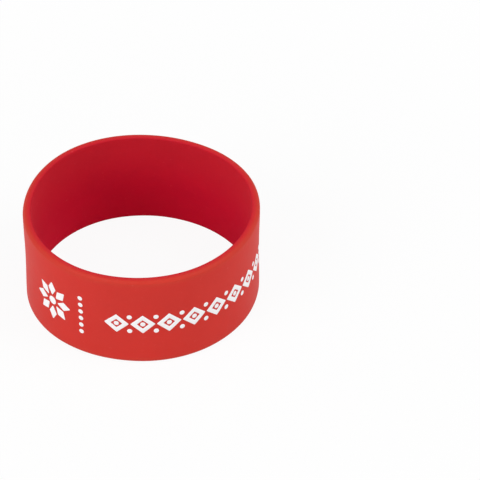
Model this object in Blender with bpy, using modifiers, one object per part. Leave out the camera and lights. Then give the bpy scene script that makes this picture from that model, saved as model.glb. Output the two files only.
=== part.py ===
"""Shaker strap: a wide elastic silicone band that is stretched round hand shakers to hold them together.

It is one moulding. Its wall has softly rounded lips, rounder outside than inside, and draws in a
little between them, as a thin silicone wall does when it cools. The band stands on its lower lip,
with the origin at the centre of its base and +Z along its axis.

Run it with: blender --background --python part.py
"""

import math

import bpy

# Driving sizes, in metres
INNER_DIAMETER = 0.0634
WALL = 0.0023
WIDTH = 0.030
OUTER_LIP_RADIUS = 0.0012
INNER_LIP_RADIUS = 0.0004
WAIST = 0.0002

# Fineness of the turned surface
STEPS_ROUND = 128
STEPS_WALL = 6
STEPS_OUTER_LIP = 5
STEPS_INNER_LIP = 3
MERGE_DISTANCE = 0.00001

# Finish of the silicone, as linear colour
SILICONE_RED = (0.610, 0.042, 0.033, 1.0)
SILICONE_ROUGHNESS = 0.5

# Sizes that follow from the driving ones
INNER_RADIUS = INNER_DIAMETER / 2
OUTER_RADIUS = INNER_RADIUS + WALL


def clear_scene():
    """Removes whatever the scene holds."""
    for old in list(bpy.data.objects):
        bpy.data.objects.remove(old, do_unlink=True)


def new_collection(name):
    """A collection in the scene for the strap."""
    collection = bpy.data.collections.new(name)
    bpy.context.scene.collection.children.link(collection)
    return collection


def silicone():
    """Satin red silicone."""
    material = bpy.data.materials.new("red_silicone")
    material.use_nodes = True
    shader = material.node_tree.nodes["Principled BSDF"]
    shader.inputs["Base Color"].default_value = SILICONE_RED
    shader.inputs["Roughness"].default_value = SILICONE_ROUGHNESS
    shader.inputs["Metallic"].default_value = 0.0
    return material


def lip_arc(centre_x, centre_z, radius, start, end, steps):
    """Points (x, z) of a lip's rounding, from the start angle to the end angle in degrees."""
    points = []
    for step in range(steps + 1):
        angle = math.radians(start + (end - start) * step / steps)
        points.append((centre_x + radius * math.cos(angle), centre_z + radius * math.sin(angle)))
    return points


def wall_line(face_radius, start_z, end_z):
    """Points (x, z) of one face of the wall, between its roundings, drawn in at its middle."""
    points = []
    for step in range(1, STEPS_WALL):
        along = step / STEPS_WALL
        draw_in = WAIST * math.sin(math.pi * along) ** 2
        points.append((face_radius - draw_in, start_z + (end_z - start_z) * along))
    return points


def band_section():
    """The wall's closed section: down its outer face, round the lower lip, up its inner face and back."""
    outer_x = OUTER_RADIUS - OUTER_LIP_RADIUS
    inner_x = INNER_RADIUS + INNER_LIP_RADIUS
    outer_low, outer_high = OUTER_LIP_RADIUS, WIDTH - OUTER_LIP_RADIUS
    inner_low, inner_high = INNER_LIP_RADIUS, WIDTH - INNER_LIP_RADIUS
    return (
        lip_arc(outer_x, outer_high, OUTER_LIP_RADIUS, 90, 0, STEPS_OUTER_LIP)
        + wall_line(OUTER_RADIUS, outer_high, outer_low)
        + lip_arc(outer_x, outer_low, OUTER_LIP_RADIUS, 0, -90, STEPS_OUTER_LIP)
        + lip_arc(inner_x, inner_low, INNER_LIP_RADIUS, -90, -180, STEPS_INNER_LIP)
        + wall_line(INNER_RADIUS, inner_low, inner_high)
        + lip_arc(inner_x, inner_high, INNER_LIP_RADIUS, 180, 90, STEPS_INNER_LIP)
    )


def turned(name, section, collection):
    """An object whose closed section is turned once round the Z axis."""
    mesh = bpy.data.meshes.new(name)
    corners = [(x, 0.0, z) for x, z in section]
    sides = [(i, (i + 1) % len(corners)) for i in range(len(corners))]
    mesh.from_pydata(corners, sides, [])
    obj = bpy.data.objects.new(name, mesh)
    collection.objects.link(obj)
    turn = obj.modifiers.new("turn", "SCREW")
    turn.axis = "Z"
    turn.angle = 2 * math.pi
    turn.steps = turn.render_steps = STEPS_ROUND
    turn.use_merge_vertices = True
    turn.merge_threshold = MERGE_DISTANCE
    turn.use_smooth_shade = True
    return obj


def main():
    clear_scene()
    collection = new_collection("shaker_strap")
    band = turned("silicone_band", band_section(), collection)
    band.data.materials.append(silicone())


main()
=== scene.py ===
"""Shaker strap: the looks of a wide red silicone band with a white print, on a plain white floor.

The band is turned from the same section as its solid, in a much finer mesh, and takes the solid's
place. The print is a thin film of ink. Each of its shapes is drawn flat, in metres along the band
and above its lower lip, and then wrapped round the drawn-in wall.
"""

import math

import bmesh
import bpy
from mathutils import Matrix, Vector


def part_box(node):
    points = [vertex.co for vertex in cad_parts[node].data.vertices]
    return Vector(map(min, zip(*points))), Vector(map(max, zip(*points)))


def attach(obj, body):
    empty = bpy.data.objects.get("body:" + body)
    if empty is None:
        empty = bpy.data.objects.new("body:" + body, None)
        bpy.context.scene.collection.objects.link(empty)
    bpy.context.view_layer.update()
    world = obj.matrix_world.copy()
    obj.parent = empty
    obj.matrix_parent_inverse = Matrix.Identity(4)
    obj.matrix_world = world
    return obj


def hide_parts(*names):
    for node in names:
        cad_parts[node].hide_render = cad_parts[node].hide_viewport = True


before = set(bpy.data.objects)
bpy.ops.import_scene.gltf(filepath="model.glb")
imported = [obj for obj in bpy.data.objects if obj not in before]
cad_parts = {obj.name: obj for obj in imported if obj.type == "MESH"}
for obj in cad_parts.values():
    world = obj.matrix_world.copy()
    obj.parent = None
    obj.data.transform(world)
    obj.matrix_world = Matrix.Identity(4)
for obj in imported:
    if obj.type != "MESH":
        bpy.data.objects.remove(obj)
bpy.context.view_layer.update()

bl_info = {
    "name": "Shaker Strap",
    "version": (1, 0, 0),
    "blender": (4, 5, 0),
    "location": "3D View > Sidebar > Strap",
    "description": "Adds a printed silicone shaker strap and a plain studio round it",
    "category": "Add Mesh",
}

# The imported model
BODY = "root"
BAND_NODE = "silicone_band"
BAND_LOW, BAND_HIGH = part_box(BAND_NODE)

# Fineness of the turned band
STEPS_ROUND = 384
STEPS_WALL = 24
STEPS_OUTER_LIP = 12
STEPS_INNER_LIP = 6

# Waves that the soft wall makes in its ring: how many go round, then how far they reach, in metres,
# and where they start, in radians, first at the lower lip and then at the upper one
WAVES = (
    (2, 0.000037, 0.30, 0.000055, -0.42),
    (3, 0.000058, -2.26, 0.000250, 2.66),
    (4, 0.000142, -0.22, 0.000157, -0.72),
    (7, 0.000020, 0.0, 0.000020, -1.1),
    (13, 0.000010, 0.0, 0.000010, 1.7),
)

# Fineness of the print: how far apart its points lie at most, in metres, and how many steps go round
# a corner and a dot. The fill ring is one more ring of points inside a filled shape, as a share of
# its outline, so that the shape bends with the band.
PRINT_SPACING = 0.0004
STEPS_CORNER = 4
STEPS_DOT = 28
FILL_RING = 0.5

# How the print's corners are rounded, and its edge bevelled and bedded in the silicone, in metres
CORNER_RADIUS = 0.00025
SHOULDER = 0.00005
BEDDING = 0.00006

# The print's layout: degrees round the band from its -Y side, positive towards +X
REPEATS = 2
ROSETTE_AT = -46.5
COLUMN_AT = -28.9
CHAIN_START = -16.75
CHAIN_END = 97.0
DOTS_IN_COLUMN = 6

# Shares of a rosette's radius
PETAL_FOOT = 0.28
PETAL_HALF_WIDTH = 0.22
ROSETTE_EYE = 0.20

# The floor's size, and how far it lies under the band, in metres, how white it glows near the band,
# from 0 to 1, and how far from the middle its shadow is still full and where it has gone
FLOOR_SIDE = 4.0
FLOOR_DROP = 0.00002
GLOW = 0.92
SHADOW_FULL = 0.05
SHADOW_END = 0.25

# The softboxes' places, in metres, how strong each is, and their size
SOFTBOXES = (
    ("softbox_left", (-0.78, -0.60, 0.66), 1.0),
    ("softbox_right", (0.85, -0.20, 0.82), 0.88),
)
SOFTBOX_SIDE = 0.8

# The mesh attribute that is 1 on the band's inner face, and falls to 0 within a lip's outer
# rounding. It carries the painted shade of the inner face and its greater roughness
INSIDE = "inside"

# The mesh attribute of the painted sheen on the lips: 1 halfway round a lip's outer rounding, and
# falls to 0 on its land and this far, in metres, along the outer face. The gain makes it full
# already halfway round.
SHEEN = "lip_sheen"
SHEEN_REACH = 0.0022
SHEEN_GAIN = 2

# The spots in the silicone: how wide each kind is, in metres, and its share in the tone
CLOUD_SIZE, CLOUD_SHARE = 0.009, 0.45
MOTTLE_SIZE, MOTTLE_SHARE = 0.0025, 0.25
SPECKLE_SIZE, SPECKLE_SHARE = 0.0009, 0.3

# How far the tone darkens and lightens the silicone outside and inside, and the share of the band's
# width above which its inner face is painted lighter, as painted light under the upper lip
OUTSIDE_REACH = 0.08
INSIDE_REACH = 0.12
TOP_LIGHT_START = 0.3

# Lint starts where the speckle passes the first value, and is full from the second on, where this
# much of its colour shows
LINT_START = 0.66
LINT_FULL = 0.78
LINT_STRENGTH = 0.04

# The silicone's relief: the width of the mould's grain and its depth, in metres, which is the depth
# of the ink's relief too, how strongly it shows, and how many parts of mottle go with one of grain
GRAIN_SIZE = 0.00022
RELIEF_DEPTH = 0.00001
GRAIN_STRENGTH = 0.5
MOTTLE_PARTS = 2.0

# The silicone's roughness, and what the mottle and the inner face add to it
SILICONE_ROUGHNESS = 0.52
MOTTLE_ROUGHNESS = 0.08
INSIDE_ROUGHNESS = 0.25

# The ink: the widths of its mottle and of its screen's relief, in metres, how strongly the relief
# shows, how dark and light the mottle makes it, its roughness, and what the mottle adds to that
INK_MOTTLE_SIZE = 0.0016
SCREEN_SIZE = 0.00015
SCREEN_STRENGTH = 0.4
INK_DARKEST = 0.96
INK_LIGHTEST = 1.02
INK_ROUGHNESS = 0.4
INK_MOTTLE_ROUGHNESS = 0.12

# Linear colours
LINT = (0.7, 0.5, 0.45, 1.0)
PAPER = (0.88, 0.88, 0.88, 1.0)
WHITE = (1.0, 1.0, 1.0, 1.0)

# The numbers of a Mix node's sockets that take colours
MIX_FACTOR, MIX_FIRST, MIX_SECOND, MIX_RESULT = 0, 6, 7, 2


class BandSettings(bpy.types.PropertyGroup):
    """Sizes and colours of the silicone band."""

    outer_diameter: bpy.props.FloatProperty(
        name="Outer Diameter",
        description="Width across the outside of the band",
        default=BAND_HIGH.x - BAND_LOW.x,
        unit="LENGTH",
    )
    width: bpy.props.FloatProperty(
        name="Width",
        description="Height of the band from lip to lip",
        default=BAND_HIGH.z - BAND_LOW.z,
        unit="LENGTH",
    )
    wall: bpy.props.FloatProperty(
        name="Wall",
        description="Thickness of the silicone",
        default=0.0023,
        unit="LENGTH",
    )
    outer_lip_radius: bpy.props.FloatProperty(
        name="Outer Lip Radius",
        description="Rounding of both lips towards the outside",
        default=0.0012,
        unit="LENGTH",
    )
    inner_lip_radius: bpy.props.FloatProperty(
        name="Inner Lip Radius",
        description="Rounding of both lips towards the inside",
        default=0.0004,
        unit="LENGTH",
    )
    waist: bpy.props.FloatProperty(
        name="Waist",
        description="How far the wall draws in halfway between the lips",
        default=0.0002,
        unit="LENGTH",
    )
    softness: bpy.props.FloatProperty(
        name="Softness",
        description="How much of the soft wall's waves shows, from a true ring at 0",
        default=1.0,
        subtype="FACTOR",
    )
    outside_colour: bpy.props.FloatVectorProperty(
        name="Outside Colour",
        description="Colour of the silicone on the outer face",
        default=(0.605, 0.031, 0.022),
        subtype="COLOR",
        size=3,
    )
    # Painted sheen: this paler red on the lips' outer rounding stands in for the gloss that lights
    # them
    lip_sheen_colour: bpy.props.FloatVectorProperty(
        name="Edge Colour",
        description="Colour of the silicone on the outer rounding of both lips",
        default=(0.588, 0.038, 0.0235),
        subtype="COLOR",
        size=3,
    )
    # Painted shade: the silicone is one red, and this deeper red stands in for the shade inside the
    # band
    inside_shade_colour: bpy.props.FloatVectorProperty(
        name="Inside Colour",
        description="Colour of the silicone on the lower part of the inner face",
        default=(0.55, 0.0, 0.022),
        subtype="COLOR",
        size=3,
    )
    # Painted light and shade: lighter than the lower inner face, as more light falls in under the
    # upper lip
    inside_top_shade_colour: bpy.props.FloatVectorProperty(
        name="Inside Top Colour",
        description="Colour of the silicone on the inner face under the upper lip",
        default=(0.585, 0.011, 0.026),
        subtype="COLOR",
        size=3,
    )


class PrintSettings(bpy.types.PropertyGroup):
    """Sizes and colour of the print."""

    row_height: bpy.props.FloatProperty(
        name="Row Height",
        description="Height of the middle of the print above the lower lip",
        default=0.0144,
        unit="LENGTH",
    )
    rosette_diameter: bpy.props.FloatProperty(
        name="Rosette Diameter",
        description="Width across the petals of a rosette",
        default=0.0138,
        unit="LENGTH",
    )
    petals: bpy.props.IntProperty(
        name="Petals",
        description="How many petals a rosette has",
        default=8,
        min=4,
    )
    lozenges: bpy.props.IntProperty(
        name="Lozenges",
        description="How many lozenges a chain has",
        default=9,
        min=2,
    )
    lozenge_width: bpy.props.FloatProperty(
        name="Lozenge Width",
        description="Length of a lozenge along the chain",
        default=0.0072,
        unit="LENGTH",
    )
    lozenge_height: bpy.props.FloatProperty(
        name="Lozenge Height",
        description="Height of a lozenge in the chain",
        default=0.0066,
        unit="LENGTH",
    )
    stroke: bpy.props.FloatProperty(
        name="Stroke",
        description="Width of the outline of a lozenge",
        default=0.0013,
        unit="LENGTH",
    )
    dot_diameter: bpy.props.FloatProperty(
        name="Dot Diameter",
        description="Width of a dot",
        default=0.0015,
        unit="LENGTH",
    )
    film: bpy.props.FloatProperty(
        name="Film",
        description="How far the ink stands proud of the silicone",
        default=0.00006,
        unit="LENGTH",
    )
    ink_colour: bpy.props.FloatVectorProperty(
        name="Ink Colour",
        description="Colour of the printed ink",
        default=(0.93, 0.93, 0.94),
        subtype="COLOR",
        size=3,
    )


class StageSettings(bpy.types.PropertyGroup):
    """The place of the camera, and the light."""

    elevation: bpy.props.FloatProperty(
        name="Elevation",
        description="How steeply the camera looks down",
        default=math.radians(39.8),
        subtype="ANGLE",
    )
    distance: bpy.props.FloatProperty(
        name="Distance",
        description="From the camera to the middle of the band, along the view",
        default=0.7802,
        unit="LENGTH",
    )
    aside: bpy.props.FloatProperty(
        name="Aside",
        description="How far the camera stands to the right of the band",
        default=0.02839,
        unit="LENGTH",
    )
    above: bpy.props.FloatProperty(
        name="Above",
        description="How far the camera is raised over the middle of the band, across the view",
        default=0.00156,
        unit="LENGTH",
    )
    lens: bpy.props.FloatProperty(
        name="Lens",
        description="Focal length of the camera",
        default=202.18,
        unit="CAMERA",
    )
    daylight: bpy.props.FloatProperty(
        name="Daylight",
        description="Strength of the even light from all round",
        default=0.45,
    )
    softbox_power: bpy.props.FloatProperty(
        name="Softbox Power",
        description="Power of the left one of the two large lamps",
        default=7.4,
        unit="POWER",
    )


class Wire:
    """An output of a node. Arithmetic on it adds the Math nodes."""

    def __init__(self, nodes, socket):
        self.nodes = nodes
        self.socket = socket

    def math(self, operation, first, second):
        settings, inputs = {"operation": operation}, {0: first, 1: second}
        return self.nodes.add("ShaderNodeMath", settings, inputs, "Value")

    def __add__(self, other):
        return self.math("ADD", self, other)

    def __radd__(self, other):
        return self.math("ADD", other, self)

    def __mul__(self, other):
        return self.math("MULTIPLY", self, other)

    def __rmul__(self, other):
        return self.math("MULTIPLY", other, self)


class Nodes:
    """The nodes of a material or of the world, started afresh."""

    def __init__(self, owner):
        owner.use_nodes = True
        self.tree = owner.node_tree
        self.tree.nodes.clear()

    def add(self, kind, settings, inputs, output=0):
        """Adds a node: its settings first, then the value or link of each input.
        Returns the output of that name or number."""
        made = self.tree.nodes.new(kind)
        for name, value in settings.items():
            setattr(made, name, value)
        for name, value in inputs.items():
            if isinstance(value, Wire):
                self.tree.links.new(value.socket, made.inputs[name])
            else:
                made.inputs[name].default_value = value
        return Wire(self, made.outputs[output]) if made.outputs else None

    def mixed(self, factor, first, second):
        """One colour that turns into another as the factor goes from 0 to 1."""
        colours = {MIX_FACTOR: factor, MIX_FIRST: first, MIX_SECOND: second}
        return self.add("ShaderNodeMix", {"data_type": "RGBA"}, colours, MIX_RESULT)

    def clouded(self, tone, colour, reach):
        """The colour, darker by this reach where the tone is 0 and lighter where it is 1."""
        return self.mixed(tone, opaque(colour, 1 - reach), opaque(colour, 1 + reach))

    def noise(self, place, grain, detail=2.0):
        """Soft noise from 0 to 1, whose spots are about one grain wide, in metres."""
        inputs = {"Vector": place, "Scale": 1 / grain, "Detail": detail}
        return self.add("ShaderNodeTexNoise", {}, inputs, "Fac")


def opaque(colour, shade):
    """A colour property as a shader takes it, times the shade."""
    return (*(part * shade for part in colour), 1.0)


def red_silicone(settings):
    """Satin silicone: faintly clouded, finely grained by its mould, and with a little of the lint
    that clings to silicone. Its inner face is painted a deeper red as painted shade, which is
    painted lighter towards the upper lip, and the outer rounding of both lips has a painted sheen of
    paler red."""
    material = bpy.data.materials.new("red_silicone")
    nodes = Nodes(material)
    place = nodes.add("ShaderNodeTexCoord", {}, {}, "Object")
    inside = nodes.add("ShaderNodeAttribute", {"attribute_name": INSIDE}, {}, "Fac")
    lip_sheen = nodes.add("ShaderNodeAttribute", {"attribute_name": SHEEN}, {}, "Fac")
    clouds = nodes.noise(place, CLOUD_SIZE)
    mottle = nodes.noise(place, MOTTLE_SIZE, detail=3.0)
    speckle = nodes.noise(place, SPECKLE_SIZE, detail=3.0)
    grain = nodes.noise(place, GRAIN_SIZE)
    tone = CLOUD_SHARE * clouds + MOTTLE_SHARE * mottle + SPECKLE_SHARE * speckle
    # Painted light: the inner face is painted lighter towards the upper lip
    height = nodes.add("ShaderNodeSeparateXYZ", {}, {"Vector": place}, "Z")
    upward = {
        "Value": height,
        "From Min": TOP_LIGHT_START * settings.width,
        "From Max": settings.width,
    }
    top_light = nodes.add("ShaderNodeMapRange", {"interpolation_type": "SMOOTHSTEP"}, upward, "Result")
    face_red = nodes.clouded(tone, settings.outside_colour, OUTSIDE_REACH)
    # Painted sheen: the outer rounding of both lips takes the paler sheen colour
    sheen_red = nodes.clouded(tone, settings.lip_sheen_colour, OUTSIDE_REACH)
    outer_red = nodes.mixed(lip_sheen, face_red, sheen_red)
    # Painted shade: the inner face takes a deeper red than the outside
    shaded_low_red = nodes.clouded(tone, settings.inside_shade_colour, INSIDE_REACH)
    shaded_high_red = nodes.clouded(tone, settings.inside_top_shade_colour, INSIDE_REACH)
    shaded_inner_red = nodes.mixed(top_light, shaded_low_red, shaded_high_red)
    clean_red = nodes.mixed(inside, outer_red, shaded_inner_red)
    clinging = {"Value": speckle, "From Min": LINT_START, "From Max": LINT_FULL}
    lint = nodes.add("ShaderNodeMapRange", {}, clinging, "Result")
    relief = {
        "Strength": GRAIN_STRENGTH,
        "Distance": RELIEF_DEPTH,
        "Height": grain + MOTTLE_PARTS * mottle,
    }
    rough = SILICONE_ROUGHNESS + MOTTLE_ROUGHNESS * mottle + INSIDE_ROUGHNESS * inside
    shader = nodes.add(
        "ShaderNodeBsdfPrincipled",
        {},
        {
            "Base Color": nodes.mixed(LINT_STRENGTH * lint, clean_red, LINT),
            "Roughness": rough,
            "IOR": 1.41,
            "Specular IOR Level": 0.2,
            "Subsurface Weight": 0.2,
            "Subsurface Radius": (1.0, 0.2, 0.15),
            "Subsurface Scale": 0.0008,
            "Normal": nodes.add("ShaderNodeBump", {}, relief),
        },
    )
    nodes.add("ShaderNodeOutputMaterial", {}, {"Surface": shader})
    return material


def white_ink(settings):
    """Screen-printed ink: white, a little uneven in tone and gloss, with the faint relief of its
    screen."""
    material = bpy.data.materials.new("white_ink")
    nodes = Nodes(material)
    place = nodes.add("ShaderNodeTexCoord", {}, {}, "Object")
    mottle = nodes.noise(place, INK_MOTTLE_SIZE, detail=3.0)
    relief = {
        "Strength": SCREEN_STRENGTH,
        "Distance": RELIEF_DEPTH,
        "Height": nodes.noise(place, SCREEN_SIZE),
    }
    darkest = opaque(settings.ink_colour, INK_DARKEST)
    lightest = opaque(settings.ink_colour, INK_LIGHTEST)
    shader = nodes.add(
        "ShaderNodeBsdfPrincipled",
        {},
        {
            "Base Color": nodes.mixed(mottle, darkest, lightest),
            "Roughness": INK_ROUGHNESS + INK_MOTTLE_ROUGHNESS * mottle,
            "Specular IOR Level": 0.4,
            "Normal": nodes.add("ShaderNodeBump", {}, relief),
        },
    )
    nodes.add("ShaderNodeOutputMaterial", {}, {"Surface": shader})
    return material


def showing(nodes):
    """1 for what the camera sees, in a reflection or through glass too, and otherwise 0."""
    kinds = ("Is Camera Ray", "Is Glossy Ray", "Is Transmission Ray")
    seen, glossy, through = (nodes.add("ShaderNodeLightPath", {}, {}, kind) for kind in kinds)
    return seen + glossy + through


def white_floor():
    """White paper. Most of what shows of it is evenly white, and near the band the rest takes its
    shadow."""
    material = bpy.data.materials.new("white_floor")
    nodes = Nodes(material)
    place = nodes.add("ShaderNodeTexCoord", {}, {}, "Object")
    away = nodes.add("ShaderNodeVectorMath", {"operation": "LENGTH"}, {0: place}, "Value")
    fade = {
        "Value": away,
        "From Min": SHADOW_FULL,
        "From Max": SHADOW_END,
        "To Min": GLOW,
        "To Max": 1.0,
    }
    glow = nodes.add("ShaderNodeMapRange", {"interpolation_type": "SMOOTHSTEP"}, fade, "Result")
    paper = nodes.add("ShaderNodeBsdfDiffuse", {}, {"Color": PAPER})
    white = nodes.add("ShaderNodeEmission", {}, {"Color": WHITE, "Strength": 1.0})
    shader = nodes.add("ShaderNodeMixShader", {}, {0: glow * showing(nodes), 1: paper, 2: white})
    nodes.add("ShaderNodeOutputMaterial", {}, {"Surface": shader})
    return material


def light_world(daylight):
    """Even light from all round, which shows as white."""
    world = bpy.data.worlds.new("studio")
    nodes = Nodes(world)
    strength = daylight + (1 - daylight) * showing(nodes)
    light = nodes.add("ShaderNodeBackground", {}, {"Color": WHITE, "Strength": strength})
    nodes.add("ShaderNodeOutputWorld", {}, {"Surface": light})
    bpy.context.scene.world = world


def drawn_in(settings, lip, height):
    """How far the waist draws a face of the wall in at this height, between roundings of the lip's
    radius."""
    along = (height - lip) / (settings.width - 2 * lip)
    return settings.waist * math.sin(math.pi * along) ** 2


def on_band(settings, radius, height, angle):
    """The point at that radius, height and angle round the band, with the soft wall's waves."""
    share = height / settings.width
    for count, low_reach, low_start, high_reach, high_start in WAVES:
        low = low_reach * math.sin(count * angle + low_start)
        high = high_reach * math.sin(count * angle + high_start)
        radius += settings.softness * (low + (high - low) * share)
    return Vector((radius * math.sin(angle), -radius * math.cos(angle), height))


def lip_arc(centre_x, centre_z, radius, start, end, steps):
    """Points (x, z) of a lip's rounding, from the start angle to the end angle in degrees."""
    points = []
    for step in range(steps + 1):
        angle = math.radians(start + (end - start) * step / steps)
        points.append((centre_x + radius * math.cos(angle), centre_z + radius * math.sin(angle)))
    return points


def wall_line(settings, face_radius, lip):
    """Points (x, z) up one face of the wall, between its roundings."""
    points = []
    for step in range(1, STEPS_WALL):
        height = lip + (settings.width - 2 * lip) * step / STEPS_WALL
        points.append((face_radius - drawn_in(settings, lip, height), height))
    return points


def band_section(settings):
    """The wall's closed section: down its outer face, round the lower lip, up its inner face and
    back."""
    outer = settings.outer_diameter / 2
    inner = outer - settings.wall
    top = settings.width
    outer_lip, inner_lip = settings.outer_lip_radius, settings.inner_lip_radius
    return (
        lip_arc(outer - outer_lip, top - outer_lip, outer_lip, 90, 0, STEPS_OUTER_LIP)
        + wall_line(settings, outer, outer_lip)[::-1]
        + lip_arc(outer - outer_lip, outer_lip, outer_lip, 0, -90, STEPS_OUTER_LIP)
        + lip_arc(inner + inner_lip, inner_lip, inner_lip, -90, -180, STEPS_INNER_LIP)
        + wall_line(settings, inner, inner_lip)
        + lip_arc(inner + inner_lip, top - inner_lip, inner_lip, 180, 90, STEPS_INNER_LIP)
    )


def inside_share(settings, radius):
    """Where the inner face's painted shade and roughness lie: 1 on the inner face, falling to 0
    across the lip, halfway through its outer rounding.
    """
    inner_radius = settings.outer_diameter / 2 - settings.wall
    fade = settings.wall - settings.outer_lip_radius / 2
    return min(max(1 - (radius - inner_radius) / fade, 0), 1)


def sheen_share(settings, radius, height):
    """Where the painted sheen lies: 1 halfway round a lip's outer rounding, falling to 0 on its land
    and along the outer face.
    """
    inwards = (settings.outer_diameter / 2 - radius) / settings.outer_lip_radius
    along_face = min(height, settings.width - height) / SHEEN_REACH
    return min(SHEEN_GAIN * max(1 - inwards, 0) * max(1 - along_face, 0), 1)


def add_strip(mesh, row, following):
    """A closed strip of faces between two closed rows of corners."""
    for i in range(len(row)):
        mesh.faces.new((row[i - 1], row[i], following[i], following[i - 1]))


def piece_from(name, mesh, material):
    """An object of this mesh and material, which moves with the band's body."""
    data = bpy.data.meshes.new(name)
    mesh.to_mesh(data)
    mesh.free()
    data.materials.append(material)
    data.shade_smooth()
    piece = bpy.data.objects.new(name, data)
    bpy.context.scene.collection.objects.link(piece)
    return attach(piece, BODY)


def rounded(corners):
    """A convex outline, its corners given counter-clockwise, with each corner rounded."""
    points = []
    for i, corner in enumerate(corners):
        back = (corners[i - 1] - corner).normalized()
        ahead = (corners[(i + 1) % len(corners)] - corner).normalized()
        half_angle = back.angle(ahead) / 2
        centre = corner + (back + ahead).normalized() * CORNER_RADIUS / math.sin(half_angle)
        start = corner + back * CORNER_RADIUS / math.tan(half_angle) - centre
        for step in range(STEPS_CORNER + 1):
            turn = Matrix.Rotation((math.pi - 2 * half_angle) * step / STEPS_CORNER, 2)
            points.append(centre + turn @ start)
    return points


def spaced(outline):
    """The outline with points added along its straight stretches, so that it bends round the
    band."""
    points = []
    for here, there in zip(outline, outline[1:] + outline[:1]):
        count = math.ceil((there - here).length / PRINT_SPACING)
        points += [here.lerp(there, step / count) for step in range(count)]
    return points


class PrintShape:
    """An outline round (0, 0) whose every side lies as far from the middle, so that a scaled copy
    of it keeps one distance inside it."""

    def __init__(self, outline, inner_radius):
        self.outline = outline
        self.inner_radius = inner_radius


def lozenge(half_width, half_height):
    """A lozenge that stands on its corner."""
    right, top = Vector((half_width, 0)), Vector((0, half_height))
    inner_radius = half_width * half_height / math.hypot(half_width, half_height)
    return PrintShape(spaced(rounded([right, top, -right, -top])), inner_radius)


def dot(radius):
    """A round dot."""
    turns = (2 * math.pi * step / STEPS_DOT for step in range(STEPS_DOT))
    outline = [Vector((radius * math.cos(turn), radius * math.sin(turn))) for turn in turns]
    return PrintShape(outline, radius)


class Printer:
    """Lays shapes of ink on the outside of the band, all into one mesh."""

    def __init__(self, band, ink):
        self.band = band
        self.ink = ink
        self.mesh = bmesh.new()

    def corner(self, point, lift):
        """A corner of the mesh over this point of the flat drawing, lifted off the silicone."""
        outer_radius = self.band.outer_diameter / 2
        radius = outer_radius - drawn_in(self.band, self.band.outer_lip_radius, point.y) + lift
        return self.mesh.verts.new(on_band(self.band, radius, point.y, point.x / outer_radius))

    def row(self, shape, middle, turn, scale, lift):
        """A closed row of corners: the outline turned, scaled and put in its place."""
        turned = Matrix.Rotation(turn, 2)
        return [self.corner(middle + turned @ point * scale, lift) for point in shape.outline]

    def lay(self, shape, middle, turn=0.0, stroke=None):
        """Prints the shape at a point of the flat drawing, filled, or as an outline of that
        stroke."""
        film = self.ink.film
        shoulder = SHOULDER / shape.inner_radius
        layers = [(1, film / 2), (1 - shoulder, film)]
        if stroke:
            opening = 1 - stroke / shape.inner_radius
            layers += [(opening + shoulder, film), (opening, film / 2)]
        else:
            layers.append((FILL_RING, film))
        rows = [self.row(shape, middle, turn, scale, lift) for scale, lift in layers]
        for row, following in zip(rows, rows[1:]):
            add_strip(self.mesh, row, following)
        if not stroke:
            centre = self.corner(middle, film)
            for i in range(len(shape.outline)):
                self.mesh.faces.new((rows[-1][i - 1], rows[-1][i], centre))

    def finished(self, name):
        """The printed piece, with the thickness of its film."""
        material = bpy.data.materials.get("white_ink") or white_ink(self.ink)
        piece = piece_from(name, self.mesh, material)
        thicken = piece.modifiers.new("film", "SOLIDIFY")
        thicken.thickness = self.ink.film + BEDDING
        thicken.offset = -1
        return piece

    def along(self, degrees):
        """How far along the flat drawing this angle lies."""
        return math.radians(degrees) * self.band.outer_diameter / 2


def repeat_turns():
    """The angle, in degrees, at which each repeat of the print starts."""
    return [360 * number / REPEATS for number in range(REPEATS)]


class STRAP_OT_add_band(bpy.types.Operator):
    """Add the red silicone band in place of its plain solid"""

    bl_idname = "strap.add_band"
    bl_label = "Add Band"

    def execute(self, context):
        settings = context.scene.strap_band
        mesh = bmesh.new()
        # The mask of the painted shade and the greater roughness of the inner face
        inside = mesh.verts.layers.float.new(INSIDE)
        # The mask of the painted sheen on the lips' outer rounding
        lip_sheen = mesh.verts.layers.float.new(SHEEN)
        turns = [2 * math.pi * step / STEPS_ROUND for step in range(STEPS_ROUND)]
        rows = []
        for radius, height in band_section(settings):
            row = [mesh.verts.new(on_band(settings, radius, height, turn)) for turn in turns]
            for corner in row:
                corner[inside] = inside_share(settings, radius)
                corner[lip_sheen] = sheen_share(settings, radius, height)
            rows.append(row)
        for i in range(len(rows)):
            add_strip(mesh, rows[i - 1], rows[i])
        bmesh.ops.recalc_face_normals(mesh, faces=mesh.faces)
        band = piece_from("red_band", mesh, red_silicone(settings))
        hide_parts(BAND_NODE)
        return {"FINISHED"}


class STRAP_OT_print_rosettes(bpy.types.Operator):
    """Print the rosettes of lozenge petals"""

    bl_idname = "strap.print_rosettes"
    bl_label = "Print Rosettes"

    def execute(self, context):
        ink = context.scene.strap_print
        printer = Printer(context.scene.strap_band, ink)
        radius = ink.rosette_diameter / 2
        petal = lozenge(radius * (1 - PETAL_FOOT) / 2, radius * PETAL_HALF_WIDTH)
        eye = dot(radius * ROSETTE_EYE)
        for start in repeat_turns():
            middle = Vector((printer.along(start + ROSETTE_AT), ink.row_height))
            printer.lay(eye, middle)
            for number in range(ink.petals):
                turn = 2 * math.pi * number / ink.petals
                reach = Matrix.Rotation(turn, 2) @ Vector((radius * (1 + PETAL_FOOT) / 2, 0))
                printer.lay(petal, middle + reach, turn)
        printer.finished("print_rosettes")
        return {"FINISHED"}


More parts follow.
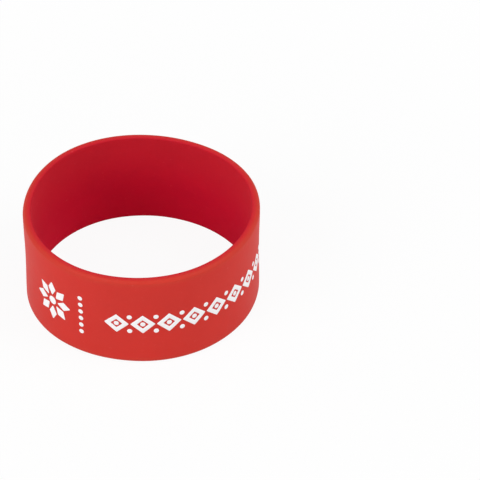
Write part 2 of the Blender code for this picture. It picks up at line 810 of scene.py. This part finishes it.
class STRAP_OT_print_columns(bpy.types.Operator):
    """Print the columns of dots beside the rosettes"""

    bl_idname = "strap.print_columns"
    bl_label = "Print Columns"

    def execute(self, context):
        ink = context.scene.strap_print
        printer = Printer(context.scene.strap_band, ink)
        spot = dot(ink.dot_diameter / 2)
        rise = (ink.rosette_diameter - ink.dot_diameter) / (DOTS_IN_COLUMN - 1)
        for start in repeat_turns():
            along = printer.along(start + COLUMN_AT)
            for number in range(DOTS_IN_COLUMN):
                above = (number - (DOTS_IN_COLUMN - 1) / 2) * rise
                printer.lay(spot, Vector((along, ink.row_height + above)))
        printer.finished("print_columns")
        return {"FINISHED"}


class STRAP_OT_print_chains(bpy.types.Operator):
    """Print the chains of lozenges with dots in and between them"""

    bl_idname = "strap.print_chains"
    bl_label = "Print Chains"

    def execute(self, context):
        ink = context.scene.strap_print
        printer = Printer(context.scene.strap_band, ink)
        link = lozenge(ink.lozenge_width / 2, ink.lozenge_height / 2)
        spot = dot(ink.dot_diameter / 2)
        run = printer.along(CHAIN_END - CHAIN_START) - ink.lozenge_width
        pitch = run / (ink.lozenges - 1)
        above = Vector((0, (ink.lozenge_height - ink.dot_diameter) / 2))
        for start in repeat_turns():
            along = printer.along(start + CHAIN_START) + ink.lozenge_width / 2
            first = Vector((along, ink.row_height))
            for number in range(ink.lozenges):
                middle = first + Vector((number * pitch, 0))
                printer.lay(link, middle, stroke=ink.stroke)
                printer.lay(spot, middle)
                if number < ink.lozenges - 1:
                    between = middle + Vector((pitch / 2, 0))
                    printer.lay(spot, between + above)
                    printer.lay(spot, between - above)
        printer.finished("print_chains")
        return {"FINISHED"}


class STRAP_OT_add_stage(bpy.types.Operator):
    """Add the white floor, the light and the camera"""

    bl_idname = "strap.add_stage"
    bl_label = "Add Stage"

    def execute(self, context):
        settings = context.scene.strap_stage
        self.add_floor(context)
        self.add_softboxes(context, settings)
        self.add_camera(context, settings)
        light_world(settings.daylight)
        context.scene.view_settings.view_transform = "Standard"
        return {"FINISHED"}

    def add_floor(self, context):
        """A sheet of white paper under the band."""
        mesh = bmesh.new()
        bmesh.ops.create_grid(mesh, x_segments=1, y_segments=1, size=FLOOR_SIDE / 2)
        data = bpy.data.meshes.new("floor")
        mesh.to_mesh(data)
        mesh.free()
        data.materials.append(white_floor())
        floor = bpy.data.objects.new("floor", data)
        floor.location.z = BAND_LOW.z - FLOOR_DROP
        context.scene.collection.objects.link(floor)

    def add_softboxes(self, context, settings):
        """Large square lamps that face the band."""
        for name, place, strength in SOFTBOXES:
            lamp = bpy.data.lights.new(name, "AREA")
            lamp.energy = settings.softbox_power * strength
            lamp.size = SOFTBOX_SIDE
            softbox = bpy.data.objects.new(name, lamp)
            softbox.location = place
            softbox.rotation_euler = (-Vector(place)).to_track_quat("-Z", "Y").to_euler()
            context.scene.collection.objects.link(softbox)

    def add_camera(self, context, settings):
        """The camera, level from side to side, that looks down towards +Y."""
        rise, run = math.sin(settings.elevation), math.cos(settings.elevation)
        right, up, back = Vector((1, 0, 0)), Vector((0, rise, run)), Vector((0, -run, rise))
        data = bpy.data.cameras.new("camera")
        data.lens = settings.lens
        camera = bpy.data.objects.new("camera", data)
        middle = (BAND_LOW + BAND_HIGH) / 2
        camera.location = (
            middle + right * settings.aside + up * settings.above + back * settings.distance
        )
        camera.rotation_euler = (math.pi / 2 - settings.elevation, 0, 0)
        context.scene.collection.objects.link(camera)
        context.scene.camera = camera


class STRAP_PT_sidebar(bpy.types.Panel):
    """The strap's operators and settings"""

    bl_idname = "STRAP_PT_sidebar"
    bl_label = "Shaker Strap"
    bl_space_type = "VIEW_3D"
    bl_region_type = "UI"
    bl_category = "Strap"

    def draw(self, context):
        for operator in OPERATORS:
            self.layout.operator(operator.bl_idname)
        scene = context.scene
        for group in (scene.strap_band, scene.strap_print, scene.strap_stage):
            box = self.layout.box()
            for name in group.__annotations__:
                box.prop(group, name)


OPERATORS = (
    STRAP_OT_add_band,
    STRAP_OT_print_rosettes,
    STRAP_OT_print_columns,
    STRAP_OT_print_chains,
    STRAP_OT_add_stage,
)
CLASSES = (BandSettings, PrintSettings, StageSettings, *OPERATORS, STRAP_PT_sidebar)


def register():
    for kind in CLASSES:
        bpy.utils.register_class(kind)
    bpy.types.Scene.strap_band = bpy.props.PointerProperty(type=BandSettings)
    bpy.types.Scene.strap_print = bpy.props.PointerProperty(type=PrintSettings)
    bpy.types.Scene.strap_stage = bpy.props.PointerProperty(type=StageSettings)


def unregister():
    del bpy.types.Scene.strap_stage
    del bpy.types.Scene.strap_print
    del bpy.types.Scene.strap_band
    for kind in reversed(CLASSES):
        bpy.utils.unregister_class(kind)


def main():
    register()
    bpy.ops.strap.add_band()
    bpy.ops.strap.print_rosettes()
    bpy.ops.strap.print_columns()
    bpy.ops.strap.print_chains()
    bpy.ops.strap.add_stage()


if __name__ == "__main__":
    main()
